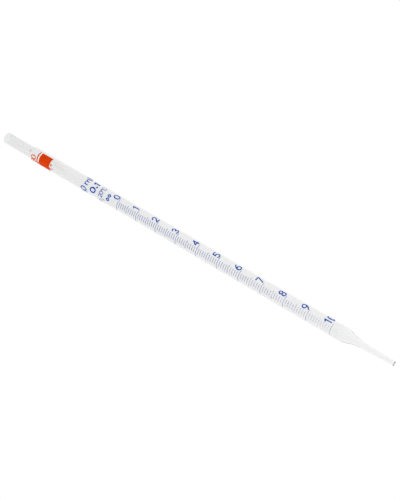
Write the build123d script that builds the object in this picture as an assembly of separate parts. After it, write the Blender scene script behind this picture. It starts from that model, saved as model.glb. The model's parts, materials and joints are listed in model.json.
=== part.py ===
from build123d import *
import math
import os

# A 10 ml graduated glass pipette, lying on a table.
#
# X runs along the pipette, with the delivery tip at +X. Z is up, and the
# barrel rests on Z = 0. Lengths are in millimetres and angles in degrees.
# A "station" is a distance from the end of the tip, measured to the mouth end.
# A "turn" is an angle round the barrel, from straight up (+Z) towards -Y.

# ---- driving dimensions ----------------------------------------------------

total_length = 360.0
barrel_radius = 5.2
scale_pitch = 19.0              # axial distance that holds 1 ml
millilitre = 1000.0             # mm3
bore_radius = math.sqrt(millilitre / (math.pi * scale_pitch))

# Delivery jet: a drawn shoulder and a slim tube with a ground end.
jet_root = 23.6                 # station where the shoulder meets the slim tube
jet_joint = 40.9                # station where the jet is fused to the barrel
jet_joint_pull = 0.4            # how far the shoulder's curve runs on from each end,
jet_root_pull = 0.45            # as a share of the shoulder's length
jet_root_radius = 2.25
jet_end_radius = 1.6
jet_bore_radius = 1.35
orifice_radius = 0.55
jet_end_bevel = 0.25

# Mouthpiece: a narrower tube with a fire-polished rim.
mouth_joint = 328.6             # station where the mouthpiece is fused on
mouth_neck = 333.6              # station where its full narrow tube starts
mouth_radius = 4.5
mouth_bore_radius = 3.5

# Enamel print, fired on the outside of the barrel.
print_gap = 0.005               # keeps the enamel's solids clear of the glass's
print_height = 0.04
print_radius = barrel_radius + print_gap
reading_turn = 41.0             # turn of the line that faces the reader

# Scale marks. Each kind has a start and an end turn, from the reading line.
divisions = 100                 # tenths of a millilitre, from 0 to 10 ml
last_mark = 46.0                # station of the 10 ml mark
mark_width = 0.32
long_mark_arc = (-33.0, 74.0)
half_mark_arc = (-18.0, 51.0)
tenth_mark_arc = (-7.0, 39.0)

# Numerals stand on the mouth side of their marks.
numeral_height = 5.9
numeral_pen = 0.88
numeral_turn = -35.0            # centre of a single digit, from the reading line
numeral_lift = 0.7              # gap between a numeral and its mark
ten_lift = 1.3                  # the same gap for the two-digit numeral
digit_step = 42.0               # turn from one digit to the next one

# Lettering, each as its height and its pen's width.
volume_letters = (6.2, 0.85)
small_letters = (3.6, 0.75)
division_letters = (5.8, 1.1)
temperature_letters = (3.9, 0.5)
tolerance_letters = (3.0, 0.4)
class_rings = (3.2, 0.92)
batch_digits = (5.3, 0.75)

# Rows of lettering between the scale and the colour band.
class_mark_station = 245.5
temperature_station = 253.1
division_station = 261.1
volume_station = 270.1

# Colour code.
band_stations = (307.5, 318.9)
ring_stations = (320.3, 321.4)
colour_arc = (-43.0, 124.0)
dot_station = 306.0
dot_turn = 15.0
dot_radius = 1.0
batch_station = 325.0

# ---- placing and shaping helpers -------------------------------------------


def x_at(station):
    """X of a station, with the pipette centred on X = 0."""
    return total_length / 2 - station


def lift(shape):
    """Raise a shape made about the X axis so that the barrel rests on Z = 0."""
    return Pos(0, 0, barrel_radius) * shape


def turned_glass(outline):
    """A closed outline of (X, radius) curves, spun about the X axis."""
    return lift(revolve(make_face(outline), Axis.X, 360))


def print_shell(low_station, high_station):
    """The thin layer that enamel fills on the barrel, between two stations."""
    outer = Cylinder(print_radius + print_height, high_station - low_station)
    inner = Cylinder(print_radius, high_station - low_station)
    middle = x_at((low_station + high_station) / 2)
    return Pos(middle, 0, 0) * Rot(0, 90, 0) * (outer - inner)


def printed_arc(station, width, start_turn, end_turn):
    """A printed strip that runs round the barrel from one turn to another."""
    layer = Rectangle(width, print_height, align=(Align.CENTER, Align.MIN))
    section = Plane.XZ * Pos(x_at(station), print_radius) * layer
    strip = revolve(section, Axis.X, end_turn - start_turn)
    return Rot(reading_turn + start_turn, 0, 0) * strip


def printed_glyph(glyph, station, turn):
    """A flat glyph, wrapped on the barrel with its top towards the mouth."""
    angle = math.radians(reading_turn + turn)
    outward = (0, -math.sin(angle), math.cos(angle))
    rightward = (0, math.cos(angle), math.sin(angle))
    plane = Plane(origin=(x_at(station), 0, 0), x_dir=rightward, z_dir=outward)
    plane = plane.offset(barrel_radius / 2)
    box = glyph.bounding_box()
    reach = max(box.max.Y, -box.min.Y) + print_height
    stamp = extrude(plane * glyph, barrel_radius)
    return stamp & print_shell(station - reach, station + reach)


# ---- pen strokes and glyphs ------------------------------------------------
# A glyph is drawn about its own centre. Its strokes follow a path whose
# half-height is 1 before it is scaled, so the pen's width stays the same.


class Pen:
    """Draws round-ended strokes of one width at one size."""

    def __init__(self, height, width):
        self.width = width
        self.scale = (height - width) / 2

    def at(self, x, y):
        return Vector(x * self.scale, y * self.scale)

    def dash(self, x1, y1, x2, y2):
        """A straight stroke."""
        start = self.at(x1, y1)
        end = self.at(x2, y2)
        return SlotCenterPoint((start + end) / 2, end, self.width)

    def bow(self, x, y, radius, start, sweep):
        """A stroke along an arc."""
        arc = CenterArc(self.at(x, y), radius * self.scale, start, sweep)
        return SlotArc(arc.edge(), self.width)

    def loop(self, x, y, x_radius, y_radius):
        """A closed oval stroke."""
        half = self.width / 2
        outer = Ellipse(x_radius * self.scale + half, y_radius * self.scale + half)
        inner = Ellipse(x_radius * self.scale - half, y_radius * self.scale - half)
        return Pos(self.at(x, y)) * (outer - inner)


def zero(pen):
    return pen.loop(0, 0, 0.58, 1)


def round_zero(pen):
    return pen.loop(0, 0, 0.72, 1)


def one(pen):
    return pen.dash(0.1, 1, 0.1, -1) + pen.dash(0.1, 1, -0.35, 0.6)


def two(pen):
    return (pen.bow(0, 0.48, 0.52, 165, -205)
            + pen.dash(0.4, 0.15, -0.52, -1)
            + pen.dash(-0.52, -1, 0.56, -1))


def three(pen):
    return pen.bow(0, 0.5, 0.5, 150, -240) + pen.bow(0, -0.48, 0.52, 90, -240)


def four(pen):
    return (pen.dash(0.25, 1, 0.25, -1)
            + pen.dash(0.25, 1, -0.6, -0.35)
            + pen.dash(-0.6, -0.35, 0.6, -0.35))


def five(pen):
    return (pen.dash(-0.38, 1, 0.48, 1)
            + pen.dash(-0.38, 1, -0.44, 0.06)
            + pen.bow(-0.05, -0.4, 0.6, 130, -265))


def six(pen):
    return pen.loop(0, -0.42, 0.58, 0.58) + pen.bow(1.006, -0.42, 1.586, 180, -63.6)


def seven(pen):
    return pen.dash(-0.55, 1, 0.55, 1) + pen.dash(0.55, 1, -0.15, -1)


def eight(pen):
    return pen.loop(0, 0.52, 0.48, 0.48) + pen.loop(0, -0.48, 0.52, 0.52)


def nine(pen):
    return Rot(0, 0, 180) * six(pen)


def letter_m(pen):
    return (pen.dash(-1.6, 1, -1.6, -1)
            + pen.bow(-0.8, 0.2, 0.8, 180, -180)
            + pen.dash(0, 0.2, 0, -1)
            + pen.bow(0.8, 0.2, 0.8, 180, -180)
            + pen.dash(1.6, 0.2, 1.6, -1))


def letter_l(pen):
    return pen.dash(0, 1, 0, -1)


def letter_c(pen):
    return (pen.bow(0, 0.42, 0.58, 20, 160)
            + pen.dash(-0.58, 0.42, -0.58, -0.42)
            + pen.bow(0, -0.42, 0.58, 180, 160))


def degree_sign(pen):
    return pen.loop(0, 0.72, 0.28, 0.28)


def decimal_point(pen):
    return Pos(pen.at(0, -0.95)) * Circle(pen.width * 0.7)


def plus_minus(pen):
    return (pen.dash(0, 0.9, 0, -0.3)
            + pen.dash(-0.55, 0.3, 0.55, 0.3)
            + pen.dash(-0.55, -0.9, 0.55, -0.9))


digits = [zero, one, two, three, four, five, six, seven, eight, nine]


def printed_row(characters, pen, station):
    """One solid per character. Each entry is a glyph function and its turn."""
    return [printed_glyph(glyph(pen), station, turn) for glyph, turn in characters]


# ---- glass -----------------------------------------------------------------


def delivery_jet():
    joint = x_at(jet_joint)
    root = x_at(jet_root)
    end = x_at(0)
    joint_pull = joint + (root - joint) * jet_joint_pull
    root_pull = root - (root - joint) * jet_root_pull
    tip_edge = (end - jet_end_bevel, jet_end_radius)
    outline = [
        Bezier((joint, barrel_radius), (joint_pull, barrel_radius),
               (root_pull, jet_root_radius), (root, jet_root_radius)),
        Line((root, jet_root_radius), tip_edge),
        Line(tip_edge, (end, jet_end_radius - jet_end_bevel)),
        Line((end, jet_end_radius - jet_end_bevel), (end, orifice_radius)),
        Line((end, orifice_radius), (root, jet_bore_radius)),
        Bezier((root, jet_bore_radius), (root_pull, jet_bore_radius),
               (joint_pull, bore_radius), (joint, bore_radius)),
        Line((joint, bore_radius), (joint, barrel_radius)),
    ]
    return turned_glass(outline)


def barrel_tube():
    tip_side = x_at(jet_joint)
    mouth_side = x_at(mouth_joint)
    outline = Polyline((mouth_side, bore_radius), (mouth_side, barrel_radius),
                       (tip_side, barrel_radius), (tip_side, bore_radius), close=True)
    return turned_glass(outline)


def mouthpiece_tube():
    joint = x_at(mouth_joint)
    neck = x_at(mouth_neck)
    rim = x_at(total_length)
    wall = mouth_radius - mouth_bore_radius
    pull = (neck + joint) / 2       # both ends of the shoulder's curves pull to here
    rim_start = rim + wall / 2
    outline = [
        Bezier((joint, barrel_radius), (pull, barrel_radius),
               (pull, mouth_radius), (neck, mouth_radius)),
        Line((neck, mouth_radius), (rim_start, mouth_radius)),
        ThreePointArc((rim_start, mouth_radius), (rim, mouth_radius - wall / 2),
                      (rim_start, mouth_bore_radius)),
        Line((rim_start, mouth_bore_radius), (neck, mouth_bore_radius)),
        Bezier((neck, mouth_bore_radius), (pull, mouth_bore_radius),
               (pull, bore_radius), (joint, bore_radius)),
        Line((joint, bore_radius), (joint, barrel_radius)),
    ]
    return turned_glass(outline)


# ---- enamel print ----------------------------------------------------------


def mark_station(tenths):
    """Station of a mark, counted in tenths of a millilitre from 0 ml."""
    return last_mark + (divisions - tenths) * scale_pitch / 10


def scale_marks():
    """Long, half and tenth marks, each kind as a list of solids."""
    groups = {"long_marks": [], "half_marks": [], "tenth_marks": []}
    for tenths in range(divisions + 1):
        if tenths % 10 == 0:
            name, arc = "long_marks", long_mark_arc
        elif tenths % 5 == 0:
            name, arc = "half_marks", half_mark_arc
        else:
            name, arc = "tenth_marks", tenth_mark_arc
        groups[name].append(printed_arc(mark_station(tenths), mark_width, *arc))
    return groups


def numeral(number):
    """The number beside a whole-millilitre mark, one solid per digit."""
    pen = Pen(numeral_height, numeral_pen)
    gap = ten_lift if number > 9 else numeral_lift
    station = mark_station(number * 10) + gap + numeral_height / 2
    characters = []
    for place, character in enumerate(str(number)):
        turn = numeral_turn - place * digit_step
        if number > 9:
            turn += digit_step / 4
        characters.append((digits[int(character)], turn))
    return printed_row(characters, pen, station)


def volume_label():
    """The nominal volume, 10 ml, with the small letter on the same baseline."""
    row = [(one, 86), (zero, 46), (letter_l, -66)]
    small_row = [(letter_m, -24)]
    drop = (volume_letters[0] - small_letters[0]) / 2
    return (printed_row(row, Pen(*volume_letters), volume_station)
            + printed_row(small_row, Pen(*small_letters), volume_station - drop))


def division_label():
    """The value of one division, 0.1."""
    row = [(round_zero, 16), (decimal_point, -20), (one, -46)]
    return printed_row(row, Pen(*division_letters), division_station)


def temperature_label():
    """The reference temperature, 20 degrees C."""
    row = [(two, 26), (zero, 1), (degree_sign, -20), (letter_c, -42)]
    return printed_row(row, Pen(*temperature_letters), temperature_station)


def tolerance_label():
    """The volume tolerance, plus or minus 0.1, on the side of the barrel."""
    row = [(plus_minus, 118), (zero, 98), (decimal_point, 85), (one, 70)]
    return printed_row(row, Pen(*tolerance_letters), temperature_station)


def class_mark():
    """Two plain bold rings beside the scale's start."""
    row = [(round_zero, 21), (round_zero, -11)]
    return printed_row(row, Pen(*class_rings), class_mark_station)


def batch_code():
    """Two plain digits beside the colour ring."""
    return printed_row([(eight, 62), (zero, 28)], Pen(*batch_digits), batch_station)


def printed_band(stations):
    """A colour strip between two stations."""
    middle = (stations[0] + stations[1]) / 2
    return [printed_arc(middle, stations[1] - stations[0], *colour_arc)]


def dot_mark():
    return [printed_glyph(Circle(dot_radius), dot_station, dot_turn)]


# ---- export ----------------------------------------------------------------


def enamel_nodes():
    nodes = {
        "colour_band": printed_band(band_stations),
        "colour_ring": printed_band(ring_stations),
        "dot_mark": dot_mark(),
        "batch_code": batch_code(),
        "volume_label": volume_label(),
        "division_label": division_label(),
        "temperature_label": temperature_label(),
        "tolerance_label": tolerance_label(),
        "class_mark": class_mark(),
    }
    nodes.update(scale_marks())
    for number in range(11):
        nodes[f"numeral_{number}"] = numeral(number)
    return nodes


def save(name, shape):
    shape.label = name
    export_step(shape, f"parts/{name}.step")


os.makedirs("parts", exist_ok=True)
save("delivery_jet", delivery_jet())
save("barrel_tube", barrel_tube())
save("mouthpiece_tube", mouthpiece_tube())
for node, pieces in enamel_nodes().items():
    solids = [lift(solid) for piece in pieces for solid in piece.solids()]
    save(node, Compound(children=solids))
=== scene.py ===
import bpy
import bmesh
import json
import math
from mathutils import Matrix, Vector


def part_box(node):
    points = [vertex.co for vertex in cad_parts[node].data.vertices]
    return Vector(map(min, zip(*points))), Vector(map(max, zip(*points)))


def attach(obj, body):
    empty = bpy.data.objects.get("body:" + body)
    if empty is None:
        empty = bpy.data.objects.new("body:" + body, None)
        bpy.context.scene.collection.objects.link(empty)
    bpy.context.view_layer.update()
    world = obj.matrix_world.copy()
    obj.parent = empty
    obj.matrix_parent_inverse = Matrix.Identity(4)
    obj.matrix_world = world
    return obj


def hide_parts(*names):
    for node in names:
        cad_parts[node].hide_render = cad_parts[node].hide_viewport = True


# A graduated glass pipette on a white light table. Lengths are in metres and
# angles in degrees. The frame is the CAD model's: X along the pipette with the
# tip at +X, Z up, the barrel resting on Z = 0. A turn is an angle round the
# barrel, from straight up (+Z) towards -Y.

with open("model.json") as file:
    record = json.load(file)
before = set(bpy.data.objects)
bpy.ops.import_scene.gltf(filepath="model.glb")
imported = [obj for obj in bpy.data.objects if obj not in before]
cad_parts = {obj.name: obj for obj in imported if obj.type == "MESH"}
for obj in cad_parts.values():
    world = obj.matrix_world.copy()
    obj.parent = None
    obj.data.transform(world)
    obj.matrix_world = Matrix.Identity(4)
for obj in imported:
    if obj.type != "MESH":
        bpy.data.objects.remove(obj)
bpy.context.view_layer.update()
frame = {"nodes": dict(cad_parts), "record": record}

# ---- sizes taken from the frame --------------------------------------------

mounts = {mount["name"]: mount for mount in frame["record"]["mounts"]}


def mount_radius(name):
    """Radius of one of the record's round mounts."""
    return mounts[name]["dims"]["r_mm"] / 1000


barrel_low, barrel_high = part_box("barrel_tube")
mouth_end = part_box("mouthpiece_tube")[0].x
mouth_joint = barrel_low.x
jet_joint = barrel_high.x
tip_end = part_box("delivery_jet")[1].x
scale_low, scale_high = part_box("long_marks")
band_ends = [(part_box(name)[0].x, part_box(name)[1].x) for name in ("colour_band", "colour_ring")]

barrel_radius = mount_radius("barrel_grip")
mouth_radius = mount_radius("mouth_grip")
mouth_bore_radius = mount_radius("mouth_bore")
axis_height = mounts["barrel_grip"]["pos_m"][2]

millilitre_length = 0.0190
bore_radius = math.sqrt(1e-6 / (math.pi * millilitre_length))

# ---- the glass's own shape, as in the CAD model ----------------------------

mouth_neck_length = 0.005
jet_tube_length = 0.0236
jet_joint_pull = 0.4            # how far the shoulder's curve leaves each end
jet_root_pull = 0.45
jet_root_radius = 0.00225
jet_end_radius = 0.0016
jet_bore_radius = 0.00135
orifice_radius = 0.00055
jet_bevel = 0.00025

joint_gap = 0.00002             # keeps the joints' faces from lying in one plane
around = 128                    # facets round every glass tube
shoulder_steps = 28
rim_steps = 16
barrel_steps = 24
band_start_turn = -2.0          # where the colour band and ring start and end
band_end_turn = 165.0

# ---- the look of the glass and the enamel ----------------------------------
# Noise scales are in cells to the metre.

# The grey depth of each tube's glass. The tubes are one glass, so the density that grows from the
# jet to the mouthpiece is painted shade, darker towards the mouth end.
glass_density_and_shade = {"mouthpiece": 90.0, "barrel": 65.0, "jet": 45.0}
glass_index = 1.49
depth_colour = (0.53, 0.52, 0.53)
draw_line_scale = 350
draw_line_stretch = (0.04, 1, 1)
draw_line_tints = ((0.92, 0.925, 0.923), (0.94, 0.94, 0.94))
draw_line_relief = 0.1
handling_scale = 120
handling_roughness = 0.012
ground_roughness = 0.5
ground_tint = (0.84, 0.93, 0.93)

# Painted shade: a grey tint over the upper half of the glass at the mouth end.
mouth_shade_tint = (0.856, 0.861, 0.859)
mouth_shade_end = mouth_end + 0.0052
mouth_shade_fade = 0.001
fleck_tint = (0.24, 0.25, 0.2)
fleck_place = (mouth_joint - 0.0016, -0.0027, axis_height + 0.0042)
fleck_core = 0.0004
fleck_edge = 0.0012

blue = ((0.006, 0.105, 0.52), (0.001, 0.07, 0.42))      # thin film, thick film
orange = ((0.80, 0.065, 0.003), (0.70, 0.04, 0.0))
light_orange = ((0.78, 0.13, 0.004), (0.68, 0.09, 0.0))
pale_orange = ((0.82, 0.34, 0.06), (0.74, 0.27, 0.03))
enamel_index = 1.5
enamel_shine = 0.02
film_scale = 900
# Painted glow: the enamel's faces against the glass emit light in place of the light the film lets
# through.
painted_film_glow = 0.45                # on the faces against the glass
patchiness = 0.15
against_glass = -0.5            # cosine of a face's angle to the outward direction
satin_scale = 2600
satin_roughness = (0.25, 0.5)
pit_scale = 6000
pit_relief = 0.3
relief_depth = 0.00002

# How much of a print is left at the tip end of the scale.
unworn = 1 + patchiness         # above 1, so that no patch of the print is thinned
lettering_left = 0.78
long_marks_left = 0.3
short_marks_left = 0.15

# ---- the table and the studio ----------------------------------------------

table_half_width = 4.0
table_drop = 0.0001             # keeps the table's face clear of the glass
least_table_light = 1.0
lengthwise_light = (0.98, 1.075)        # from the mouth end to the tip
across_light = (0.965, 1.045)           # from the near side to the far side
near_side = -barrel_radius / 2
far_side = 2 * barrel_radius
horizon_light = 1.0
overhead_light = 0.8
horizon_height = 0.1            # upward part of the direction to the studio's wall
overhead_height = 0.9

# ---- camera ----------------------------------------------------------------

camera_azimuth = 41.6
camera_elevation = 41.1
camera_distance = 0.765
camera_lens = 80.0
camera_aim = Vector((tip_end - 0.1604, 0.0002, axis_height))


def make_camera():
    """A long lens, aimed at the middle of the pipette from above its near side."""
    azimuth = math.radians(camera_azimuth)
    elevation = math.radians(camera_elevation)
    back = Vector((math.sin(azimuth) * math.cos(elevation),
                   -math.cos(azimuth) * math.cos(elevation),
                   math.sin(elevation)))
    data = bpy.data.cameras.new("camera")
    data.lens = camera_lens
    data.sensor_width = 36
    data.clip_start = 0.01
    data.clip_end = 50
    camera = bpy.data.objects.new("camera", data)
    camera.location = camera_aim + back * camera_distance
    camera.rotation_mode = "QUATERNION"
    camera.rotation_quaternion = (-back).to_track_quat("-Z", "Y")
    bpy.context.scene.collection.objects.link(camera)
    bpy.context.scene.camera = camera


# ---- node helpers ----------------------------------------------------------

noise_low = 0.3                 # nearly all noise lies between these two values
noise_high = 0.7
noise_detail = 2.0


def new_material(name):
    """An empty node material, with its tree and its output."""
    material = bpy.data.materials.new(name)
    material.use_nodes = True
    tree = material.node_tree
    tree.nodes.clear()
    output = tree.nodes.new("ShaderNodeOutputMaterial")
    return material, tree, output


def node(tree, kind, **values):
    """A shader node with some of its inputs set by name."""
    made = tree.nodes.new(kind)
    for key, value in values.items():
        made.inputs[key.replace("_", " ")].default_value = value
    return made


def noise(tree, scale, stretch=(1, 1, 1)):
    """Noise in the object's own coordinates, drawn out where stretch is small."""
    place = tree.nodes.new("ShaderNodeTexCoord")
    drawn = node(tree, "ShaderNodeMapping", Scale=stretch)
    cloud = node(tree, "ShaderNodeTexNoise", Scale=scale, Detail=noise_detail)
    tree.links.new(place.outputs["Object"], drawn.inputs["Vector"])
    tree.links.new(drawn.outputs["Vector"], cloud.inputs["Vector"])
    return cloud.outputs["Fac"]


def spread(tree, value, low, high, start=noise_low, end=noise_high):
    """A value between start and end, moved to the range from low to high."""
    ranged = node(tree, "ShaderNodeMapRange", From_Min=start, From_Max=end,
                  To_Min=low, To_Max=high)
    tree.links.new(value, ranged.inputs["Value"])
    return ranged.outputs["Result"]


def blend(tree, value, low_colour, high_colour):
    """A colour between two others, chosen by noise."""
    ramp = tree.nodes.new("ShaderNodeValToRGB")
    low, high = ramp.color_ramp.elements
    low.position = noise_low
    low.color = (*low_colour, 1)
    high.position = noise_high
    high.color = (*high_colour, 1)
    tree.links.new(value, ramp.inputs["Fac"])
    return ramp.outputs["Color"]


def combine(tree, operation, first, second, clamped=True):
    """Two values put together by arithmetic."""
    joined = tree.nodes.new("ShaderNodeMath")
    joined.operation = operation
    joined.use_clamp = clamped
    tree.links.new(first, joined.inputs[0])
    tree.links.new(second, joined.inputs[1])
    return joined.outputs["Value"]


def along(tree, axis, start, end, low, high):
    """A value that runs from low to high between two distances along an axis."""
    place = tree.nodes.new("ShaderNodeTexCoord")
    split = tree.nodes.new("ShaderNodeSeparateXYZ")
    tree.links.new(place.outputs["Object"], split.inputs["Vector"])
    return spread(tree, split.outputs[axis], low, high, start, end)


def near_point(tree, point, inside, outside, there, elsewhere):
    """A value that changes with the distance from a point."""
    place = tree.nodes.new("ShaderNodeTexCoord")
    apart = tree.nodes.new("ShaderNodeVectorMath")
    apart.operation = "DISTANCE"
    apart.inputs[1].default_value = point
    tree.links.new(place.outputs["Object"], apart.inputs[0])
    return spread(tree, apart.outputs["Value"], there, elsewhere, inside, outside)


def tinted(tree, colour, amount, other_colour):
    """A colour moved towards another one by an amount from 0 to 1."""
    mixed = node(tree, "ShaderNodeMixRGB", Color2=(*other_colour, 1))
    tree.links.new(amount, mixed.inputs["Fac"])
    tree.links.new(colour, mixed.inputs["Color1"])
    return mixed.outputs["Color"]


def face_value(tree, name):
    """A number stored on the mesh's faces."""
    stored = tree.nodes.new("ShaderNodeAttribute")
    stored.attribute_name = name
    return stored.outputs["Fac"]


def bump(tree, shader, height, strength):
    """Fine relief on a shader, from a noise."""
    relief = node(tree, "ShaderNodeBump", Strength=strength, Distance=relief_depth)
    tree.links.new(height, relief.inputs["Height"])
    tree.links.new(relief.outputs["Normal"], shader.inputs["Normal"])


# ---- materials -------------------------------------------------------------


def glass_tint(tree, draw_lines, ground):
    """The glass's colour, which changes at three places.

    The ground faces are a little green, the upper half of the mouth end is a
    little greyer with painted shade, and a small olive fleck lies in the
    mouthpiece's shoulder.
    """
    near_mouth = along(tree, "X", mouth_shade_end - mouth_shade_fade, mouth_shade_end + mouth_shade_fade, 1.0, 0.0)
    upper_half = along(tree, "Z", axis_height - mouth_shade_fade, axis_height + mouth_shade_fade, 0.0, 1.0)
    # painted shade on the upper half of the mouth end
    mouth_shade = combine(tree, "MULTIPLY", near_mouth, upper_half)
    fleck = near_point(tree, fleck_place, fleck_core, fleck_edge, 1.0, 0.0)
    tint = blend(tree, draw_lines, *draw_line_tints)
    tint = tinted(tree, tint, ground, ground_tint)
    tint = tinted(tree, tint, mouth_shade, mouth_shade_tint)
    return tinted(tree, tint, fleck, fleck_tint)


def clear_glass(name, density):
    """Drawn glass, a little grey in its depth, with faint lines along the draw.

    The fused joints are faces with no surface of their own, and the ground
    faces are rough. Both are stored on the mesh.
    """
    material, tree, output = new_material(name)
    shader = node(tree, "ShaderNodeBsdfPrincipled", IOR=glass_index, Transmission_Weight=1.0)
    draw_lines = noise(tree, draw_line_scale, draw_line_stretch)
    ground = face_value(tree, "ground")
    tree.links.new(glass_tint(tree, draw_lines, ground), shader.inputs["Base Color"])
    handling = spread(tree, noise(tree, handling_scale), 0.0, handling_roughness)
    grinding = spread(tree, ground, 0.0, ground_roughness, 0, 1)
    tree.links.new(combine(tree, "ADD", handling, grinding), shader.inputs["Roughness"])
    tree.links.new(face_value(tree, "surface"), shader.inputs["Alpha"])
    bump(tree, shader, draw_lines, draw_line_relief)
    tree.links.new(shader.outputs["BSDF"], output.inputs["Surface"])
    depth = node(tree, "ShaderNodeVolumeAbsorption", Density=density)
    depth.inputs["Color"].default_value = (*depth_colour, 1)
    tree.links.new(depth.outputs["Volume"], output.inputs["Volume"])
    return material


def enamel(name, thin_colour, thick_colour, left_at_tip):
    """Fired enamel of uneven thickness, satin and finely pitted.

    It wears along the scale: left_at_tip is how much of the print is left at
    the tip end. The faces against the glass glow with a painted light, which
    stands in for the light that comes through the film.
    """
    material, tree, output = new_material(name)
    shader = node(tree, "ShaderNodeBsdfPrincipled", IOR=enamel_index,
                  Specular_IOR_Level=enamel_shine)
    film = noise(tree, film_scale)
    colour = blend(tree, film, thin_colour, thick_colour)
    tree.links.new(colour, shader.inputs["Base Color"])
    tree.links.new(colour, shader.inputs["Emission Color"])
    # painted glow on the faces against the glass
    painted_glow = spread(tree, face_value(tree, "inner"), 0.0, painted_film_glow, 0, 1)
    tree.links.new(painted_glow, shader.inputs["Emission Strength"])
    satin = spread(tree, noise(tree, satin_scale), *satin_roughness)
    tree.links.new(satin, shader.inputs["Roughness"])
    patches = spread(tree, film, -patchiness, patchiness)
    left = along(tree, "X", scale_low.x, scale_high.x, unworn, left_at_tip)
    tree.links.new(combine(tree, "ADD", patches, left), shader.inputs["Alpha"])
    bump(tree, shader, noise(tree, pit_scale), pit_relief)
    tree.links.new(shader.outputs["BSDF"], output.inputs["Surface"])
    return material


# ---- glass meshes ----------------------------------------------------------


def curve_points(start, start_pull, end_pull, end, count):
    """Points along a cubic curve between two (x, radius) points."""
    corners = (start, start_pull, end_pull, end)
    points = []
    for step in range(count + 1):
        t = step / count
        s = 1 - t
        weights = (s ** 3, 3 * s * s * t, 3 * s * t * t, t ** 3)
        x = sum(weight * corner[0] for weight, corner in zip(weights, corners))
        radius = sum(weight * corner[1] for weight, corner in zip(weights, corners))
        points.append((x, radius))
    return points


def under_band(step):
    """Whether a whole facet lies between the colour band's two ends."""
    facet = 360 / around
    turn = facet * (step + 0.5)
    if turn > 180:              # turns past the underside count back from the top
        turn -= 360
    return band_start_turn + facet / 2 < turn < band_end_turn - facet / 2


def spin(name, profile, cap_rows, sharp_rows, ground_rows=(), print_rows=()):
    """A closed ring-shaped profile of (x, radius) points, spun about the axis.

    cap_rows, ground_rows and print_rows are the profile's steps that lie in a
    fused joint, are ground, or carry fused enamel over part of their turn.
    sharp_rows are the points where the surface has an edge.
    """
    shape = bmesh.new()
    surface = shape.faces.layers.float.new("surface")
    ground = shape.faces.layers.float.new("ground")
    rings = []
    for x, radius in profile:
        ring = []
        for step in range(around):
            turn = 2 * math.pi * step / around
            ring.append(shape.verts.new((x, -radius * math.sin(turn),
                                         axis_height + radius * math.cos(turn))))
        rings.append(ring)
    for row, ring in enumerate(rings):
        following = rings[(row + 1) % len(rings)]
        for step in range(around):
            beside = (step + 1) % around
            face = shape.faces.new((ring[step], ring[beside], following[beside], following[step]))
            face.smooth = True
            fused = row in cap_rows or (row in print_rows and under_band(step))
            face[surface] = 0.0 if fused else 1.0
            face[ground] = 1.0 if row in ground_rows else 0.0
    bmesh.ops.recalc_face_normals(shape, faces=shape.faces)
    shape.verts.ensure_lookup_table()
    for row in sharp_rows:
        for step in range(around):
            edge = shape.edges.get((rings[row][step], rings[row][(step + 1) % around]))
            edge.smooth = False
    mesh = bpy.data.meshes.new(name)
    shape.to_mesh(mesh)
    shape.free()
    piece = bpy.data.objects.new(name, mesh)
    bpy.context.scene.collection.objects.link(piece)
    return piece


def glass_piece(piece, cad_node, material):
    """Finish a glass piece, which stands for one CAD node."""
    piece.data.materials.append(material)
    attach(piece, "root")
    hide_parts(cad_node)


def mouthpiece():
    """The narrow tube, with its shoulder and its rounded rim."""
    neck = mouth_joint - mouth_neck_length
    pull = (mouth_joint + neck) / 2
    outer = curve_points((mouth_joint, barrel_radius), (pull, barrel_radius),
                         (pull, mouth_radius), (neck, mouth_radius), shoulder_steps)
    inner = curve_points((neck, mouth_bore_radius), (pull, mouth_bore_radius),
                         (pull, bore_radius), (mouth_joint, bore_radius), shoulder_steps)
    half_wall = (mouth_radius - mouth_bore_radius) / 2
    rim = []
    for step in range(rim_steps + 1):
        angle = math.pi * step / rim_steps
        rim.append((mouth_end + half_wall - math.sin(angle) * half_wall,
                    mouth_radius - half_wall + math.cos(angle) * half_wall))
    profile = outer + rim + inner
    last = len(profile) - 1
    return spin("mouthpiece", profile, {last}, (0, last))


def in_a_band(x):
    """Whether this X lies in the colour band or the colour ring."""
    return any(low < x < high for low, high in band_ends)


def barrel():
    """The measuring tube, with rings of vertices at the ends of the band and ring."""
    start = mouth_joint + joint_gap
    step_length = (jet_joint - joint_gap - start) / barrel_steps
    xs = [start + step_length * step for step in range(barrel_steps + 1)]
    for ends in band_ends:
        xs.extend(ends)
    xs.sort()
    outer = [(x, barrel_radius) for x in xs]
    inner = [(x, bore_radius) for x in reversed(xs)]
    profile = outer + inner
    last = len(profile) - 1
    end = len(xs) - 1
    print_rows = {row for row in range(end) if in_a_band((xs[row] + xs[row + 1]) / 2)}
    return spin("barrel", profile, {end, last}, (0, end, end + 1, last),
                print_rows=print_rows)


def jet():
    """The drawn shoulder and the slim tube, with its ground and bevelled end."""
    root = tip_end - jet_tube_length
    joint_pull = jet_joint + (root - jet_joint) * jet_joint_pull
    root_pull = root - (root - jet_joint) * jet_root_pull
    outer = curve_points((jet_joint, barrel_radius), (joint_pull, barrel_radius),
                         (root_pull, jet_root_radius), (root, jet_root_radius), shoulder_steps)
    inner = curve_points((root, jet_bore_radius), (root_pull, jet_bore_radius),
                         (joint_pull, bore_radius), (jet_joint, bore_radius), shoulder_steps)
    bevel_row = shoulder_steps + 1
    end_row = bevel_row + 1
    orifice_row = end_row + 1
    tip = [(tip_end - jet_bevel, jet_end_radius),
           (tip_end, jet_end_radius - jet_bevel),
           (tip_end, orifice_radius)]
    profile = outer + tip + inner
    last = len(profile) - 1
    return spin("jet", profile, {last}, (0, bevel_row, end_row, orifice_row, last),
                ground_rows={bevel_row, end_row})


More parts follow.
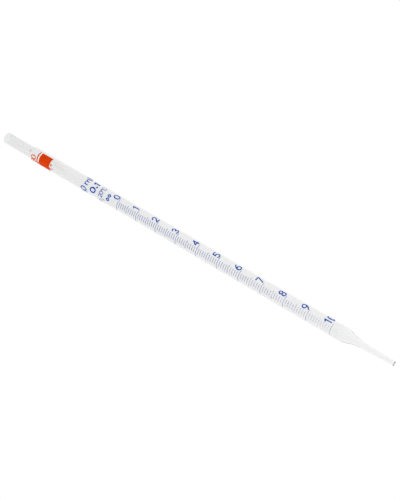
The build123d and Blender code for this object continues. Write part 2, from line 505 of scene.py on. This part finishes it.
def make_glass():
    """The three tubes, each with its own density of glass, which holds painted shade that darkens
    them towards the mouth end.
    """
    tubes = {
        "mouthpiece": (mouthpiece, "mouthpiece_tube"),
        "barrel": (barrel, "barrel_tube"),
        "jet": (jet, "delivery_jet"),
    }
    for name, (make, cad_node) in tubes.items():
        glass_piece(make(), cad_node, clear_glass(f"{name}_glass", glass_density_and_shade[name]))


# ---- enamel ----------------------------------------------------------------


def mark_inner_faces(piece):
    """Store which faces of a print lie against the glass, where the enamel gets its painted glow.
    """
    inner = piece.data.attributes.new("inner", "FLOAT", "FACE")
    for face, stored in zip(piece.data.polygons, inner.data):
        outward = Vector((0, face.center.y, face.center.z - axis_height)).normalized()
        stored.value = 1.0 if face.normal.dot(outward) < against_glass else 0.0


def paint_enamel():
    """Give every print its enamel. The ones not named here share their colour's."""
    short_marks = enamel("short_mark_enamel", *blue, short_marks_left)
    paints = {
        "half_marks": short_marks,
        "tenth_marks": short_marks,
        "long_marks": enamel("long_mark_enamel", *blue, long_marks_left),
        "colour_band": enamel("band_enamel", *orange, unworn),
        "dot_mark": enamel("dot_enamel", *pale_orange, unworn),
    }
    thin_print = enamel("light_orange_enamel", *light_orange, unworn)
    lettering = enamel("lettering_enamel", *blue, lettering_left)
    slots = {part["node"]: part["material_slot"] for part in frame["record"]["subparts"]}
    for name, piece in frame["nodes"].items():
        if slots[name] == "glass":
            continue
        plain_paint = thin_print if slots[name] == "orange_enamel" else lettering
        piece.data.materials.clear()
        piece.data.materials.append(paints.get(name, plain_paint))
        mark_inner_faces(piece)


# ---- stage -----------------------------------------------------------------


def light_table():
    """A white glow, a little brighter beyond the pipette and under its tip."""
    material, tree, output = new_material("light_table")
    glow = node(tree, "ShaderNodeEmission", Color=(1, 1, 1, 1))
    lengthwise = along(tree, "X", mouth_end, tip_end, *lengthwise_light)
    across = along(tree, "Y", near_side, far_side, *across_light)
    light = combine(tree, "MULTIPLY", lengthwise, across, clamped=False)
    lowest = node(tree, "ShaderNodeMath")
    lowest.operation = "MAXIMUM"
    lowest.inputs[1].default_value = least_table_light
    tree.links.new(light, lowest.inputs[0])
    tree.links.new(lowest.outputs["Value"], glow.inputs["Strength"])
    tree.links.new(glow.outputs["Emission"], output.inputs["Surface"])
    return material


def make_floor():
    """The table's top, just under the pipette."""
    signs = ((-1, -1), (1, -1), (1, 1), (-1, 1))
    corners = [(x * table_half_width, y * table_half_width, -table_drop) for x, y in signs]
    mesh = bpy.data.meshes.new("floor")
    mesh.from_pydata(corners, [], [(0, 1, 2, 3)])
    floor = bpy.data.objects.new("floor", mesh)
    floor.data.materials.append(light_table())
    bpy.context.scene.collection.objects.link(floor)


def make_world():
    """An even white studio that darkens slightly overhead."""
    world = bpy.data.worlds.new("studio")
    bpy.context.scene.world = world
    world.use_nodes = True
    tree = world.node_tree
    background = tree.nodes["Background"]
    place = tree.nodes.new("ShaderNodeTexCoord")
    split = tree.nodes.new("ShaderNodeSeparateXYZ")
    ramp = tree.nodes.new("ShaderNodeValToRGB")
    ramp.color_ramp.interpolation = "EASE"
    low, high = ramp.color_ramp.elements
    low.position = horizon_height
    low.color = (horizon_light, horizon_light, horizon_light, 1)
    high.position = overhead_height
    high.color = (overhead_light, overhead_light, overhead_light, 1)
    tree.links.new(place.outputs["Generated"], split.inputs["Vector"])
    tree.links.new(split.outputs["Z"], ramp.inputs["Fac"])
    tree.links.new(ramp.outputs["Color"], background.inputs["Color"])


def set_exposure():
    """Plain colours, with no film look over them."""
    scene = bpy.context.scene
    scene.view_settings.view_transform = "Standard"
    scene.view_settings.look = "None"


make_camera()
make_glass()
paint_enamel()
make_floor()
make_world()
set_exposure()
